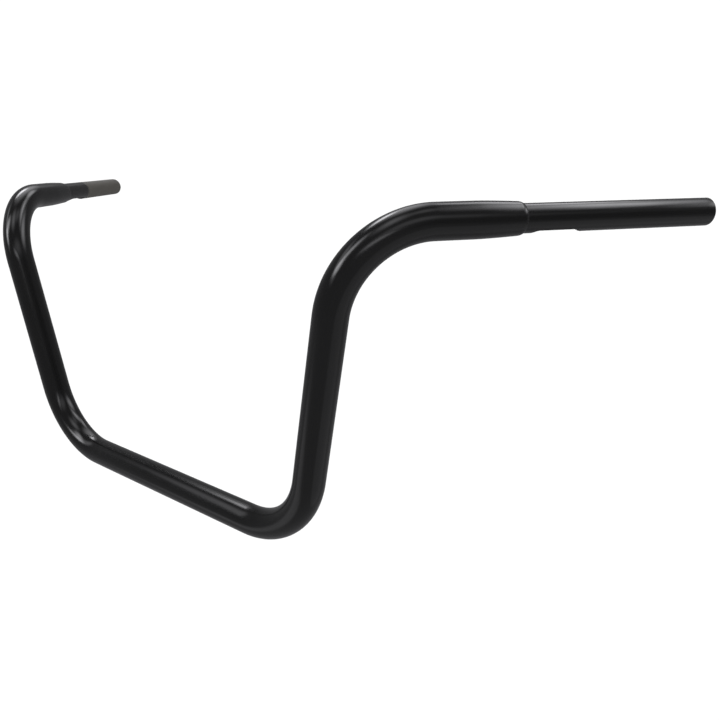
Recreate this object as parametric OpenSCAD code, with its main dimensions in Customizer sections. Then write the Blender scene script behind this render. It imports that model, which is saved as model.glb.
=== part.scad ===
// Ape hanger handlebar: one wide bent tube that carries a slimmer grip tube in each end.
// The origin is the middle of the clamp section, on the tube's axis.
// X runs along the clamp section to the bike's right, Y points forward and Z up.

/* [Tubes] */
// Outside diameter of the main tube
tube_d = 31.75; // [30:0.25:34]
// Outside diameter of the grip tubes, and bore of the main tube
grip_d = 25.4; // [22:0.1:26.4]
// Wall of the grip tubes
grip_wall = 3.2; // [2.6:0.1:4]

/* [Bends] */
// Width of the clamp section, between the points where its axis meets the risers' axes
base_w = 424; // [300:2:520]
// Length of a riser along its axis, between the same kind of points
riser_len = 320; // [260:2:420]
// Angle of a riser above the horizontal
riser_angle = 78; // [68:0.2:86]
// Angle that a grip is swept back from straight sideways
sweep = 55; // [30:0.5:64]
// Angle that a grip falls towards its end
droop = 1.5; // [0:0.5:12]
// Radius of the lower bends, to the tube's axis
lower_bend_r = 91; // [60:1:110]
// Radius of the upper bends, to the tube's axis
upper_bend_r = 86; // [60:1:96]
// Height of the faint ring that the bending die leaves at each end of a bend
die_mark_h = 0.15; // [0.12:0.01:0.3]
// Length of that ring along the tube
die_mark_len = 8; // [5:1:8]

/* [Shoulders] */
// Distance from the point where a riser's axis meets its grip's axis to the shoulder's end
shoulder_at = 156; // [144:1:190]
// Diameter to which the main tube is drawn down before the shoulder
neck_d = 29.2; // [28:0.1:29.9]
// Length over which it is drawn down
neck_len = 38; // [10:1:42]
// Length of the rounded shoulder
shoulder_len = 4; // [3:0.5:10]

/* [Grips] */
// Length of a grip tube outside the shoulder
grip_len = 193; // [120:1:220]
// Length of a grip tube inside the main tube
insert_len = 45; // [25:1:50]
// Width of the raised weld line where a grip tube enters the shoulder
weld_w = 1.2; // [0.8:0.1:2]
// Height of the weld line above the grip tube
weld_h = 0.5; // [0.2:0.1:0.8]
// Radius round the outer edge of a grip tube's open end
end_round = 1.5; // [0.5:0.1:2.5]

/* [Wiring dimples] */
// Distance from the shoulder to the start of the dimple under a grip
dimple_at = 10.5; // [4:0.5:30]
// Length of a dimple where it opens on the surface
dimple_len = 46; // [30:1:70]
// Radius of a dimple's hollow
dimple_r = 9; // [8:0.5:14]
// Width of a dimple where it opens on the surface
dimple_w = 13.6; // [10:0.2:15]
// Wall under a dimple, pressed into the grip tube's bore
dimple_wall = 2.4; // [1.5:0.1:3]

/* [Hidden] */
left = 1;
right = 0;
$fn = 64;

tube_r = tube_d / 2;
grip_r = grip_d / 2;
neck_r = neck_d / 2;
grip_bore_r = grip_r - grip_wall;

// Directions of the right riser and the right grip, and the bend between them
riser_dir = [cos(riser_angle), 0, sin(riser_angle)];
across_dir = [sin(riser_angle), 0, -cos(riser_angle)];
grip_dir = [cos(droop) * cos(sweep), -cos(droop) * sin(sweep), -sin(droop)];
upper_turn = acos(riser_dir * grip_dir);
upper_roll = atan2(grip_dir.y, across_dir * grip_dir);

// Lengths that the bends take from the straights on each side of them
lower_cut = lower_bend_r * tan(riser_angle / 2);
upper_cut = upper_bend_r * tan(upper_turn / 2);
base_straight = base_w / 2 - lower_cut;
riser_straight = riser_len - lower_cut - upper_cut;
stub_straight = shoulder_at - upper_cut;
wide_straight = stub_straight - shoulder_len - neck_len;

// Middle of the right shoulder's end face, on the axis
upper_corner = [base_w / 2, 0, 0] + riser_len * riser_dir;
shoulder_point = upper_corner + shoulder_at * grip_dir;

// Outline of the rounded shoulder, as a quarter of an ellipse in a few steps
shoulder_steps = 6;
shoulder_tip_r = grip_r + weld_h;
shoulder_curve = [
    for (i = [0 : shoulder_steps])
        let (a = 90 * i / shoulder_steps)
            [shoulder_tip_r + (neck_r - shoulder_tip_r) * cos(a), shoulder_len * sin(a)]
];

// Distance of the axis of a dimple's hollow below the axis of its grip tube
half_w = dimple_w / 2;
dimple_drop = sqrt(grip_r ^ 2 - half_w ^ 2) + sqrt(dimple_r ^ 2 - half_w ^ 2);
// Depth of the hollow along its bottom, and its half length at the surface less that of its axis
dimple_depth = grip_r + dimple_r - dimple_drop;
dimple_run_out = sqrt(dimple_r ^ 2 - (dimple_r - dimple_depth) ^ 2);
dimple_axis_len = dimple_len - 2 * dimple_run_out;

// Reach past a face that is cut open, and of a straight into the fuller bend beside it
past = 1;
lap = 0.5;
bend_swell = 0.02;

// Draws the right half's children on the left or the right
module on_side(side) {
    mirror([side, 0, 0])
        children();
}

// Moves its children to the right shoulder, with Z out along the grip and X down
module at_shoulder() {
    translate(shoulder_point)
        rotate([0, 0, -sweep])
            rotate([0, 90 + droop, 0])
                children();
}

// Bent round bar that leaves the origin up Z and turns towards X
module bend(turn, bend_r, bar_r) {
    translate([bend_r, 0, 0])
        rotate([90, 0, 0])
            rotate([0, 0, 180 - turn])
                rotate_extrude(angle = turn)
                    translate([bend_r, 0])
                        circle(r = bar_r);
}

// Faint ring round a bar at the origin, where a straight meets a bend
module die_mark(bar_r) {
    for (half = [0, 1])
        mirror([0, 0, half])
            cylinder(r1 = bar_r + die_mark_h, r2 = bar_r - die_mark_h, h = die_mark_len / 2);
}

// Round bar up Z from the origin, which laps into the bend at each end
module straight(bar_r, len) {
    translate([0, 0, -lap])
        cylinder(r = bar_r, h = len + 2 * lap);
    for (z = [0, len])
        translate([0, 0, z])
            die_mark(bar_r);
}

// Straight bar of the clamp section, across both halves
module clamp_run(bar_r) {
    translate([-base_straight, 0, 0])
        rotate([0, 90, 0])
            straight(bar_r, 2 * base_straight);
}

// Right half of the bent bar, from the end of the clamp section to the end of the upper bend
module half_run(bar_r) {
    translate([base_straight, 0, 0])
        rotate([0, 90, 0])
            rotate([0, 0, 180])
                bend(riser_angle, lower_bend_r, bar_r + bend_swell);
    translate(upper_corner - (riser_len - lower_cut) * riser_dir)
        rotate([0, 90 - riser_angle, 0]) {
            straight(bar_r, riser_straight);
            translate([0, 0, riser_straight])
                rotate([0, 0, upper_roll])
                    bend(upper_turn, upper_bend_r, bar_r + bend_swell);
        }
}

// Straight end of the right half: full width, drawn down, then the rounded shoulder
module stub() {
    at_shoulder()
        translate([0, 0, -stub_straight]) {
            die_mark(tube_r);
            translate([0, 0, -lap])
                cylinder(r = tube_r, h = wide_straight + lap);
            translate([0, 0, wide_straight])
                cylinder(r1 = tube_r, r2 = neck_r, h = neck_len);
            translate([0, 0, wide_straight + neck_len])
                rotate_extrude()
                    polygon(concat([[0, 0]], shoulder_curve, [[0, shoulder_len]]));
        }
}

// Bore of the right half's straight end, open at the shoulder
module stub_bore() {
    at_shoulder()
        translate([0, 0, -stub_straight]) {
            die_mark(grip_r);
            translate([0, 0, -lap])
                cylinder(r = grip_r, h = lap + stub_straight + past);
        }
}

module main_tube() {
    color("#141415")
        difference() {
            union() {
                clamp_run(tube_r);
                for (side = [left, right])
                    on_side(side) {
                        half_run(tube_r);
                        stub();
                    }
            }
            clamp_run(grip_r);
            for (side = [left, right])
                on_side(side) {
                    half_run(grip_r);
                    stub_bore();
                }
        }
}

// Rounded bar under the grip: the hollow of the dimple, or with a wall the metal round it
module dimple_bar(wall) {
    translate([dimple_drop, 0, dimple_at + dimple_run_out]) {
        cylinder(r = dimple_r + wall, h = dimple_axis_len);
        sphere(r = dimple_r + wall);
        translate([0, 0, dimple_axis_len])
            sphere(r = dimple_r + wall);
    }
}

// Outside of a grip tube, with its outer edge rounded
module grip_bar() {
    translate([0, 0, -insert_len])
        cylinder(r = grip_r, h = insert_len + grip_len - end_round);
    rotate_extrude()
        translate([grip_r - end_round, grip_len - end_round])
            intersection() {
                circle(r = end_round);
                square(end_round);
            }
    translate([0, 0, grip_len - end_round])
        cylinder(r = grip_r - end_round, h = end_round);
    cylinder(r = shoulder_tip_r, h = weld_w);
}

module grip_tube(side) {
    color("#1b1a19")
        on_side(side)
            at_shoulder()
                difference() {
                    union() {
                        difference() {
                            grip_bar();
                            translate([0, 0, -insert_len - past])
                                cylinder(r = grip_bore_r, h = insert_len + grip_len + 2 * past);
                        }
                        intersection() {
                            cylinder(r = grip_r, h = grip_len / 2);
                            dimple_bar(dimple_wall);
                        }
                    }
                    dimple_bar(0);
                }
}

module left_grip_tube() {
    grip_tube(left);
}

module right_grip_tube() {
    grip_tube(right);
}

main_tube();
left_grip_tube();
right_grip_tube();
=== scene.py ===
import bpy
import bmesh
import math
from mathutils import Matrix, Quaternion, Vector, noise


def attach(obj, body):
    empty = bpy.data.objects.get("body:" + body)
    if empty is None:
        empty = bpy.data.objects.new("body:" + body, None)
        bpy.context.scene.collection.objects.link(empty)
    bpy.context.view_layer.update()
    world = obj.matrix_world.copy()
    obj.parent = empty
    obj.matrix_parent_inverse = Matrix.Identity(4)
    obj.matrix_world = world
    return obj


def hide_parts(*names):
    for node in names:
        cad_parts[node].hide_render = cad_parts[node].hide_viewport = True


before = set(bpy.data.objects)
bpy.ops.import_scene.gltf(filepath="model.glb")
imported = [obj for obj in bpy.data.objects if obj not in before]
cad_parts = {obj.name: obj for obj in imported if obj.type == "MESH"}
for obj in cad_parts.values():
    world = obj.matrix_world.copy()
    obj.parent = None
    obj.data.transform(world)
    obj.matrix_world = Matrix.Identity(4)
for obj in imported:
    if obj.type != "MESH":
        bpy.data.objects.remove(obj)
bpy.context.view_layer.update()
mm = 0.001

# the bar's own sizes, as in the part's source
bar = {
    "tubeR": 15.875 * mm,
    "gripR": 12.7 * mm,
    "gripWall": 3.2 * mm,
    "baseW": 424 * mm,
    "riserLen": 320 * mm,
    "riserAngle": math.radians(78),
    "sweep": math.radians(55),
    "droop": math.radians(1.5),
    "lowerBendR": 91 * mm,
    "upperBendR": 86 * mm,
    "shoulderAt": 156 * mm,
    "gripLen": 193 * mm,
}

# directions and corners of the right half; the left half mirrors them
riserDir = Vector((math.cos(bar["riserAngle"]), 0, math.sin(bar["riserAngle"])))
gripDir = Vector((math.cos(bar["droop"]) * math.cos(bar["sweep"]),
                  -math.cos(bar["droop"]) * math.sin(bar["sweep"]),
                  -math.sin(bar["droop"])))
upperTurn = riserDir.angle(gripDir)
upperAxis = riserDir.cross(gripDir).normalized()
lowerCut = bar["lowerBendR"] * math.tan(bar["riserAngle"] / 2)   # what a bend takes from each straight
upperCut = bar["upperBendR"] * math.tan(upperTurn / 2)
lowerCorner = Vector((bar["baseW"] / 2, 0, 0))
upperCorner = lowerCorner + riserDir * bar["riserLen"]
shoulder = upperCorner + gripDir * bar["shoulderAt"]
gripSide = gripDir.cross(Vector((0, 0, 1))).normalized()   # level, across the grip
gripDown = gripDir.cross(gripSide).normalized()
if gripDown.z > 0:
    gripDown.negate()


def ringOf(geom):
    # verts and edges of the ring that an operator made last
    verts = [g for g in geom if isinstance(g, bmesh.types.BMVert)]
    inside = set(verts)
    edges = [g for g in geom if isinstance(g, bmesh.types.BMEdge) and all(v in inside for v in g.verts)]
    return verts, edges


def startRing(bm, segments, radius, centre, direction):
    place = Matrix.Translation(centre) @ direction.to_track_quat("Z", "Y").to_matrix().to_4x4()
    made = bmesh.ops.create_circle(bm, cap_ends=False, segments=segments, radius=radius, matrix=place)
    edges = list({e for v in made["verts"] for e in v.link_edges})
    return made["verts"], edges


def runOut(bm, ring, centre, direction, profile):
    # carries a ring on through (distance, radius) pairs, counted from centre along direction
    verts, edges = ring
    radius = (verts[0].co - centre).length
    at = 0
    for distance, nextRadius in profile:
        made = bmesh.ops.extrude_edge_only(bm, edges=edges)
        verts, edges = ringOf(made["geom"])
        bmesh.ops.translate(bm, verts=verts, vec=direction * (distance - at))
        middle = centre + direction * distance
        k = nextRadius / radius
        bmesh.ops.scale(bm, verts=verts, vec=(k, k, k), space=Matrix.Translation(-middle))
        at, radius = distance, nextRadius
    return verts, edges


def bendOn(bm, ring, centre, axis, angle, steps):
    verts, edges = ring
    made = bmesh.ops.spin(bm, geom=verts + edges, cent=centre, axis=axis, angle=angle, steps=steps,
                          use_merge=False, use_duplicate=False, dvec=(0, 0, 0))
    return ringOf(made["geom_last"])


def evenly(start, end, count, radius):
    # rings of one radius at even distances, the last one at the end
    return [(start + (end - start) * (i + 1) / count, radius) for i in range(count)]


def mirrorAcross(bm):
    # right to left; finishPiece turns the faces outwards again
    bmesh.ops.scale(bm, verts=bm.verts, vec=(-1, 1, 1))


def finishPiece(bm, name, material):
    bmesh.ops.remove_doubles(bm, verts=bm.verts, dist=0.002 * mm)
    bmesh.ops.recalc_face_normals(bm, faces=bm.faces)
    for face in bm.faces:
        face.smooth = True
    mesh = bpy.data.meshes.new(name)
    bm.to_mesh(mesh)
    bm.free()
    piece = bpy.data.objects.new(name, mesh)
    bpy.context.scene.collection.objects.link(piece)
    mesh.materials.append(material)
    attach(piece, "root")
    return piece


# materials

paint = {
    "colour": (0.0040, 0.0040, 0.0041, 1),
    "dustColour": (0.01, 0.01, 0.0105, 1),
    "roughness": 0.15,
    "specular": 0.36,
    "peelSize": 120,          # orange peel, cells per metre
    "peelHeight": 0.000004,
    "hazeSize": 14,           # slow change of the roughness, cells per metre
    "hazeLess": 0.03,         # how far the roughness falls and rises with it
    "hazeMore": 0.05,
    "dustSize": 900,          # specks, cells per metre
}

# paint stretched thin over the weld line, lighter in colour: partly the thin worn paint and partly a
# painted highlight along the bead; its specks are lighter too
weldPaintAndHighlight = {
    "colour": (0.014, 0.014, 0.015, 1),
    "dustColour": (0.035, 0.035, 0.036, 1),
}

# the right grip is bare and matt where the throttle sleeve turns
bareBand = {
    "startsAt": 64 * mm,      # from the right shoulder to the edge of the paint
    "edge": 3 * mm,
    "colour": (0.066, 0.061, 0.051, 1),
    "darker": (0.047, 0.044, 0.038, 1),
    "mottleSize": 70,
    "roughness": 0.46,
    "roughLess": 0.05,
    "roughMore": 0.08,
}


def addNode(tree, kind, **inputs):
    node = tree.nodes.new(kind)
    for key, value in inputs.items():
        node.inputs[key.replace("_", " ")].default_value = value
    return node


def newMaterial(name):
    material = bpy.data.materials.new(name)
    material.use_nodes = True
    tree = material.node_tree
    return material, tree, tree.nodes["Principled BSDF"]


def paintSurface(tree, shader, finish):
    # gloss black powder coat: soft orange peel, a roughness that wanders a little, and a few specks
    link = tree.links.new
    place = tree.nodes.new("ShaderNodeTexCoord")
    peel = addNode(tree, "ShaderNodeTexNoise", Scale=paint["peelSize"], Detail=1.5, Roughness=0.4)
    link(place.outputs["Object"], peel.inputs["Vector"])
    bump = addNode(tree, "ShaderNodeBump", Strength=1.0, Distance=paint["peelHeight"])
    link(peel.outputs["Fac"], bump.inputs["Height"])
    link(bump.outputs["Normal"], shader.inputs["Normal"])
    haze = addNode(tree, "ShaderNodeTexNoise", Scale=paint["hazeSize"], Detail=3.0, Roughness=0.55)
    link(place.outputs["Object"], haze.inputs["Vector"])
    rough = addNode(tree, "ShaderNodeMapRange", From_Min=0.3, From_Max=0.7,
                    To_Min=paint["roughness"] - paint["hazeLess"],
                    To_Max=paint["roughness"] + paint["hazeMore"])
    link(haze.outputs["Fac"], rough.inputs["Value"])
    dust = addNode(tree, "ShaderNodeTexNoise", Scale=paint["dustSize"], Detail=2.0, Roughness=0.6)
    link(place.outputs["Object"], dust.inputs["Vector"])
    specks = addNode(tree, "ShaderNodeMapRange", From_Min=0.68, From_Max=0.8, To_Min=0.0, To_Max=1.0)
    link(dust.outputs["Fac"], specks.inputs["Value"])
    colour = tree.nodes.new("ShaderNodeMix")
    colour.data_type = "RGBA"
    colour.inputs["A"].default_value = finish["colour"]
    colour.inputs["B"].default_value = finish["dustColour"]
    link(specks.outputs["Result"], colour.inputs["Factor"])
    shader.inputs["Specular IOR Level"].default_value = paint["specular"]
    return place, colour, rough


def glossPaint(name, finish):
    material, tree, shader = newMaterial(name)
    _, colour, rough = paintSurface(tree, shader, finish)
    tree.links.new(colour.outputs["Result"], shader.inputs["Base Color"])
    tree.links.new(rough.outputs["Result"], shader.inputs["Roughness"])
    return material


def maskedPaint(name):
    # paint near the shoulder, then the bare band
    material, tree, shader = newMaterial(name)
    link = tree.links.new
    place, colour, rough = paintSurface(tree, shader, paint)
    fromShoulder = tree.nodes.new("ShaderNodeVectorMath")
    fromShoulder.operation = "SUBTRACT"
    fromShoulder.inputs[1].default_value = shoulder
    link(place.outputs["Object"], fromShoulder.inputs[0])
    along = tree.nodes.new("ShaderNodeVectorMath")
    along.operation = "DOT_PRODUCT"
    along.inputs[1].default_value = gripDir
    link(fromShoulder.outputs["Vector"], along.inputs[0])
    bare = addNode(tree, "ShaderNodeMapRange", From_Min=bareBand["startsAt"] - bareBand["edge"],
                   From_Max=bareBand["startsAt"] + bareBand["edge"])
    link(along.outputs["Value"], bare.inputs["Value"])
    mottle = addNode(tree, "ShaderNodeTexNoise", Scale=bareBand["mottleSize"], Detail=5.0, Roughness=0.62)
    link(place.outputs["Object"], mottle.inputs["Vector"])
    bareColour = tree.nodes.new("ShaderNodeMix")
    bareColour.data_type = "RGBA"
    bareColour.inputs["A"].default_value = bareBand["darker"]
    bareColour.inputs["B"].default_value = bareBand["colour"]
    link(mottle.outputs["Fac"], bareColour.inputs["Factor"])
    colourBoth = tree.nodes.new("ShaderNodeMix")
    colourBoth.data_type = "RGBA"
    link(bare.outputs["Result"], colourBoth.inputs["Factor"])
    link(colour.outputs["Result"], colourBoth.inputs["A"])
    link(bareColour.outputs["Result"], colourBoth.inputs["B"])
    link(colourBoth.outputs["Result"], shader.inputs["Base Color"])
    bareRough = addNode(tree, "ShaderNodeMapRange", From_Min=0.3, From_Max=0.7,
                        To_Min=bareBand["roughness"] - bareBand["roughLess"],
                        To_Max=bareBand["roughness"] + bareBand["roughMore"])
    link(mottle.outputs["Fac"], bareRough.inputs["Value"])
    roughBoth = tree.nodes.new("ShaderNodeMix")
    link(bare.outputs["Result"], roughBoth.inputs["Factor"])
    link(rough.outputs["Result"], roughBoth.inputs["A"])
    link(bareRough.outputs["Result"], roughBoth.inputs["B"])
    link(roughBoth.outputs["Result"], shader.inputs["Roughness"])
    return material


glossBlack = glossPaint("glossBlack", paint)
gripBlack = maskedPaint("gripBlackAndBare")
# the weld bead's lighter paint is partly thin worn paint and partly a painted highlight
weldBlackAndHighlight = glossPaint("weldBlackAndHighlight", weldPaintAndHighlight)
print("materials made")


# main tube: one skin from shoulder to shoulder

mainTube = {
    "segments": 128,
    "bendSteps": 72,
    "baseRings": 12,
    "riserRings": 16,
    "stubRings": 4,
    "neckRings": 16,
    "neckR": 14.6 * mm,
    "neckLen": 38 * mm,
    "neckCurve": 1.5,         # 1 is a plain cone; more starts the drawn-down end more gently
    "shoulderLen": 5.4 * mm,
    "shoulderPast": 0.8 * mm,   # how far the rounding runs on into the weld line
    "shoulderSteps": 12,
    "lipOver": 0.25 * mm,     # height of the shoulder's inner lip above the grip tube
    "lipBack": 0.3 * mm,      # how far the lip slopes back to the seam
    "lipDepth": 2.5 * mm,     # how far the seam goes in beside the grip tube
    "seamGap": 0.02 * mm,
}


def makeMainTube():
    size = mainTube
    bm = bmesh.new()
    # right half: clamp section, lower bend, riser, upper bend
    across = Vector((1, 0, 0))
    ring = startRing(bm, size["segments"], bar["tubeR"], Vector((0, 0, 0)), across)
    baseStraight = bar["baseW"] / 2 - lowerCut
    ring = runOut(bm, ring, Vector((0, 0, 0)), across,
                  evenly(0, baseStraight, size["baseRings"], bar["tubeR"]))
    ring = bendOn(bm, ring, Vector((baseStraight, 0, bar["lowerBendR"])), Vector((0, -1, 0)),
                  bar["riserAngle"], size["bendSteps"])
    riserStart = lowerCorner + riserDir * lowerCut
    riserStraight = bar["riserLen"] - lowerCut - upperCut
    ring = runOut(bm, ring, riserStart, riserDir,
                  evenly(0, riserStraight, size["riserRings"], bar["tubeR"]))
    riserEnd = riserStart + riserDir * riserStraight
    inward = upperAxis.cross(riserDir)
    ring = bendOn(bm, ring, riserEnd + inward * bar["upperBendR"], upperAxis, upperTurn,
                  size["bendSteps"])
    # the straight end: drawn down, rounded at the shoulder, then in along the seam
    stubStart = upperCorner + gripDir * upperCut
    stubLen = bar["shoulderAt"] - upperCut
    neckEnd = stubLen + size["shoulderPast"] - size["shoulderLen"]
    neckStart = neckEnd - size["neckLen"]
    lipR = bar["gripR"] + size["lipOver"]
    seamR = bar["gripR"] + size["seamGap"]
    profile = evenly(0, neckStart, size["stubRings"], bar["tubeR"])
    for i in range(1, size["neckRings"] + 1):
        share = i / size["neckRings"]
        profile.append((neckStart + size["neckLen"] * share,
                        bar["tubeR"] + (size["neckR"] - bar["tubeR"]) * share ** size["neckCurve"]))
    for i in range(1, size["shoulderSteps"] + 1):
        angle = math.pi / 2 * i / size["shoulderSteps"]
        profile.append((neckEnd + size["shoulderLen"] * math.sin(angle),
                        lipR + (size["neckR"] - lipR) * math.cos(angle)))
    profile.append((stubLen + size["shoulderPast"] - size["lipBack"], seamR))
    profile.append((stubLen - size["lipDepth"], seamR))
    ring = runOut(bm, ring, stubStart, gripDir, profile)
    bmesh.ops.holes_fill(bm, edges=ring[1], sides=0)
    bmesh.ops.mirror(bm, geom=bm.verts[:] + bm.edges[:] + bm.faces[:], matrix=Matrix.Identity(4),
                     merge_dist=0.01 * mm, axis="X")
    piece = finishPiece(bm, "mainTube", glossBlack)
    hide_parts("main_tube")


makeMainTube()
print("main tube made")


# grip tubes: an open tube with a rounded end and a wiring dimple underneath

gripTube = {
    "segments": 160,
    "from": -2.2 * mm,        # starts inside the shoulder's seam
    "fineTo": 72 * mm,        # the rings lie close up to here, past the dimple
    "fineRings": 96,
    "plainRings": 16,
    "boreFineRings": 72,
    "borePlainRings": 10,
    "endRound": 1.5 * mm,
    "endSteps": 8,
    "innerRound": 0.6 * mm,
    "innerSteps": 5,
    "dimpleAt": 10 * mm,
    "dimpleLen": 48.5 * mm,
    "dimpleR": 9 * mm,
    "dimpleW": 15 * mm,
    "dimpleEnds": 1.6,        # how much steeper the dimple's ends are than a ball's
    "dimpleWall": 2.4 * mm,
    "dimpleEdge": 0.9 * mm,   # how softly the dimple's rim rolls over
}


def dimpleRadius(down, along, full, wall):
    # radius of the skin at the cosine `down` from straight down; the bore's skin lies a wall further in
    size = gripTube
    half = size["dimpleW"] / 2
    outer = bar["gripR"]
    hollowR = size["dimpleR"] + wall
    drop = math.sqrt(outer ** 2 - half ** 2) + math.sqrt(size["dimpleR"] ** 2 - half ** 2)
    depth = outer + size["dimpleR"] - drop
    endLen = math.sqrt(size["dimpleR"] ** 2 - (size["dimpleR"] - depth) ** 2) / size["dimpleEnds"]
    low = size["dimpleAt"] + endLen
    high = size["dimpleAt"] + size["dimpleLen"] - endLen
    past = max(low - along, along - high, 0) * size["dimpleEnds"]
    inside = hollowR ** 2 - past ** 2 - drop ** 2 * (1 - down ** 2)
    if down <= 0 or inside <= 0:
        return full
    hollow = drop * down - math.sqrt(inside)
    edge = size["dimpleEdge"]
    blend = max(edge - abs(full - hollow), 0) / edge
    return min(full, hollow) - blend ** 2 * edge / 4


def pressDimple(bm):
    boreR = bar["gripR"] - bar["gripWall"]
    for vert in bm.verts:
        local = vert.co - shoulder
        along = local.dot(gripDir)
        outward = local - gripDir * along
        radius = outward.length
        if not 0 < along < gripTube["fineTo"]:
            continue
        wall = gripTube["dimpleWall"] if radius < (boreR + bar["gripR"]) / 2 else 0
        direction = outward / radius
        pressed = dimpleRadius(direction.dot(gripDown), along, radius, wall)
        vert.co = shoulder + gripDir * along + direction * pressed


def makeGripTube(name, node, material, left):
    size = gripTube
    bm = bmesh.new()
    start = shoulder + gripDir * size["from"]
    first = startRing(bm, size["segments"], bar["gripR"], start, gripDir)
    outer = bar["gripR"]
    inner = outer - bar["gripWall"]
    length = bar["gripLen"] - size["from"]
    profile = evenly(0, size["fineTo"], size["fineRings"], outer)
    profile += evenly(size["fineTo"], length - size["endRound"], size["plainRings"], outer)
    for i in range(1, size["endSteps"] + 1):
        angle = math.pi / 2 * i / size["endSteps"]
        profile.append((length - size["endRound"] * (1 - math.sin(angle)),
                        outer - size["endRound"] * (1 - math.cos(angle))))
    for i in range(size["innerSteps"] + 1):
        angle = math.pi / 2 * i / size["innerSteps"]
        profile.append((length - size["innerRound"] * (1 - math.cos(angle)),
                        inner + size["innerRound"] * (1 - math.sin(angle))))
    profile += evenly(length - size["innerRound"], size["fineTo"], size["borePlainRings"], inner)
    profile += evenly(size["fineTo"], 0, size["boreFineRings"], inner)
    last = runOut(bm, first, start, gripDir, profile)
    bmesh.ops.bridge_loops(bm, edges=first[1] + last[1])
    pressDimple(bm)
    if left:
        mirrorAcross(bm)
    piece = finishPiece(bm, name, material)
    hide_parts(node)


makeGripTube("leftGripTube", "left_grip_tube", glossBlack, left=True)
makeGripTube("rightGripTube", "right_grip_tube", gripBlack, left=False)
print("grip tubes made")


# weld lines: a fine bead where each grip tube enters the shoulder

weldLine = {
    "segments": 12,
    "steps": 180,
    "beadR": 0.34 * mm,
    "centreR": 12.9 * mm,
    "at": 0.95 * mm,
    "ripples": 0.05 * mm,
    "rippleSize": 400,        # cells per metre
}


def makeWeldLine(name, left):
    size = weldLine
    bm = bmesh.new()
    middle = shoulder + gripDir * size["at"]
    verts, edges = startRing(bm, size["segments"], size["beadR"],
                             middle + gripSide * size["centreR"], gripDown)
    bmesh.ops.spin(bm, geom=verts + edges, cent=middle, axis=gripDir, angle=math.tau, steps=size["steps"],
                   use_merge=True, use_duplicate=False, dvec=(0, 0, 0))
    for vert in bm.verts:
        outward = (vert.co - middle).normalized()
        vert.co += outward * size["ripples"] * noise.noise(vert.co * size["rippleSize"])
    if left:
        mirrorAcross(bm)
    # lighter weld paint: partly thin worn paint, partly a painted highlight along the bead
    finishPiece(bm, name, weldBlackAndHighlight)


makeWeldLine("leftWeldLine", left=True)
makeWeldLine("rightWeldLine", left=False)
print("weld lines made")


# studio: pale floor, soft lights in the sky, and a camera where the photograph's stood

studio = {
    "floorR": 40,
    "floorDrop": 0.45,        # below the clamp section's axis
    "floorColour": (0.96, 0.96, 0.96, 1),
    "floorRoughness": 0.9,
    "sky": 1.1,
    "surround": 0.25,         # what the gloss sees between the soft lights
    "surroundRise": -0.07,    # how much it gains from the horizon up to the zenith
    "tint": (0.99, 0.988, 1.022, 1),
    "lightDepth": 1.5,        # deep enough for a flat ellipse, and none on the far side of the sky
}

# each soft light: bearing from +Y towards +X, height angle, roll, half width, half height, all in
# degrees, then edge and brightness; the flag is a black card, and takes light away
softLights = {
    "frontRight": (31, 41, -10, 13, 25, 0.85, 5.8),
    "frontCore": (30, 26, -16, 16, 9, 0.5, 4.6),
    "frontWide": (42, 31, -33, 40, 10, 0.55, 1.5),
    "back": (-155, 53, 70, 13.5, 35, 1, 4.0),
    "backLeft": (-138, 51, 9, 27.5, 4.8, 0.7, 2.8),
    "backLow": (-137, 32, -4, 28.5, 16, 0.9, 4.2),
    "backRight": (169, 42, 10, 11, 14, 0.7, 3.2),
    "rimRight": (112, 50, 24, 17, 8, 0.6, 8.5),
    "rimWide": (131, 54, 63, 37, 24, 0.8, 2.3),
    "nearStrip": (-39, 20, -15, 24, 6.5, 0.8, 3.3),
    "nearWide": (-62, 32, 0, 36, 15, 0.8, 0.85),
    "overhead": (-20, 69, 85, 24.5, 20.5, 1, 2.3),
    "overheadLeft": (-103, 72, 0, 16, 12, 0.8, 1.0),
    "lowFront": (38, -34, -39, 26, 12, 0.5, 0.42),
    "lowLeft": (-98, -44, 0, 34, 24, 0.2, 0.2),
    "leftFlag": (-92, 3, 0, 34, 20, 0.5, -0.12),
}


def addSoftLight(tree, values):
    # a soft-edged ellipse of light, far off in one direction
    *angles, edge, brightness = values
    bearing, height, roll, wide, tall = [math.radians(v) for v in angles]
    towards = Vector((math.sin(bearing) * math.cos(height),
                      math.cos(bearing) * math.cos(height),
                      math.sin(height)))
    side = Vector((0, 0, 1)).cross(towards).normalized()
    side.rotate(Quaternion(towards, roll))
    up = towards.cross(side)
    place = tree.nodes.new("ShaderNodeMapping")
    place.vector_type = "TEXTURE"
    place.inputs["Location"].default_value = towards
    place.inputs["Rotation"].default_value = Matrix((side, up, towards)).transposed().to_euler()
    place.inputs["Scale"].default_value = (math.sin(wide), math.sin(tall), studio["lightDepth"])
    fade = tree.nodes.new("ShaderNodeTexGradient")
    fade.gradient_type = "SPHERICAL"
    tree.links.new(place.outputs["Vector"], fade.inputs["Vector"])
    glow = addNode(tree, "ShaderNodeMapRange", From_Max=edge, To_Max=brightness)
    glow.interpolation_type = "SMOOTHSTEP"
    tree.links.new(fade.outputs["Fac"], glow.inputs["Value"])
    return place, glow


def makeFloor():
    bm = bmesh.new()
    bmesh.ops.create_circle(bm, cap_ends=True, segments=128, radius=studio["floorR"],
                            matrix=Matrix.Translation((0, 0, -studio["floorDrop"])))
    mesh = bpy.data.meshes.new("floor")
    bm.to_mesh(mesh)
    bm.free()
    floor = bpy.data.objects.new("floor", mesh)
    bpy.context.scene.collection.objects.link(floor)
    material, _, shader = newMaterial("floorPale")
    shader.inputs["Base Color"].default_value = studio["floorColour"]
    shader.inputs["Roughness"].default_value = studio["floorRoughness"]
    shader.inputs["Specular IOR Level"].default_value = 0.0
    mesh.materials.append(material)
    floor.visible_glossy = False   # the gloss mirrors the soft lights, and no white floor


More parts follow.
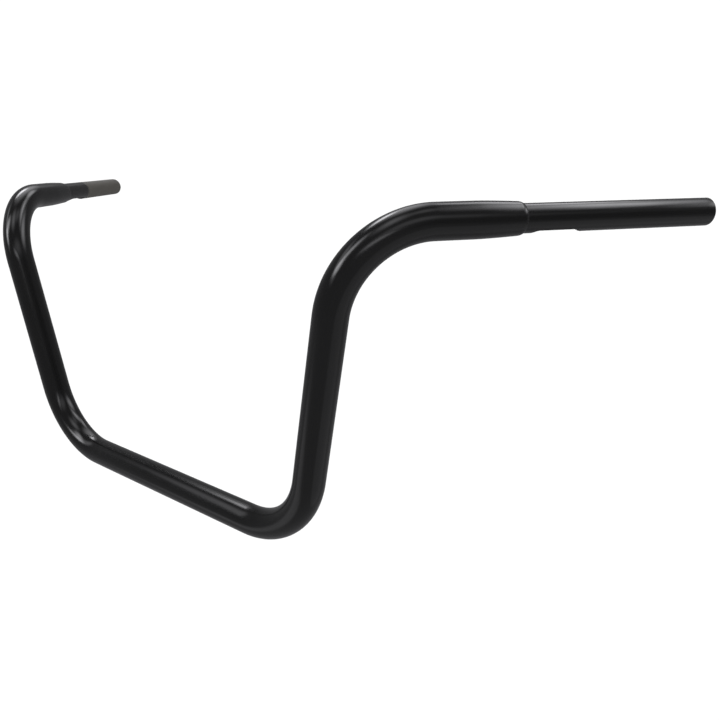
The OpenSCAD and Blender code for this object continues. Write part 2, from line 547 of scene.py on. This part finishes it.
def makeSurround():
    # plain white for the floor and the view; the gloss mirrors the soft lights on a dim surround
    world = bpy.data.worlds.new("studio")
    bpy.context.scene.world = world
    world.use_nodes = True
    tree = world.node_tree
    link = tree.links.new
    background = tree.nodes["Background"]
    view = tree.nodes.new("ShaderNodeTexCoord")
    ray = tree.nodes.new("ShaderNodeLightPath")
    height = tree.nodes.new("ShaderNodeSeparateXYZ")
    link(view.outputs["Generated"], height.inputs["Vector"])
    total = tree.nodes.new("ShaderNodeMath")
    total.operation = "MULTIPLY_ADD"
    total.inputs[1].default_value = studio["surroundRise"]
    total.inputs[2].default_value = studio["surround"]
    link(height.outputs["Z"], total.inputs[0])
    for values in softLights.values():
        place, glow = addSoftLight(tree, values)
        link(view.outputs["Generated"], place.inputs["Vector"])
        both = tree.nodes.new("ShaderNodeMath")
        link(total.outputs["Value"], both.inputs[0])
        link(glow.outputs["Result"], both.inputs[1])
        total = both
    seen = addNode(tree, "ShaderNodeMapRange", To_Min=studio["sky"])
    seen.clamp = False
    link(ray.outputs["Is Glossy Ray"], seen.inputs["Value"])
    link(total.outputs["Value"], seen.inputs["To Max"])
    link(seen.outputs["Result"], background.inputs["Strength"])
    tint = tree.nodes.new("ShaderNodeMix")
    tint.data_type = "RGBA"
    tint.inputs["A"].default_value = (1, 1, 1, 1)
    tint.inputs["B"].default_value = studio["tint"]
    link(ray.outputs["Is Glossy Ray"], tint.inputs["Factor"])
    link(tint.outputs["Result"], background.inputs["Color"])


camera = {
    "place": Vector((-0.62605, 0.41688, 0.38068)),
    "turn": (71.679, 1.503, -141.833),   # degrees
    "lens": 34.18,
    "sensor": 36,
}


def makeCamera():
    data = bpy.data.cameras.new("camera")
    data.lens = camera["lens"]
    data.sensor_width = camera["sensor"]
    eye = bpy.data.objects.new("camera", data)
    eye.location = camera["place"]
    eye.rotation_euler = [math.radians(a) for a in camera["turn"]]
    bpy.context.scene.collection.objects.link(eye)
    bpy.context.scene.camera = eye


makeFloor()
makeSurround()
makeCamera()
bpy.context.scene.view_settings.view_transform = "Standard"
print("studio made")
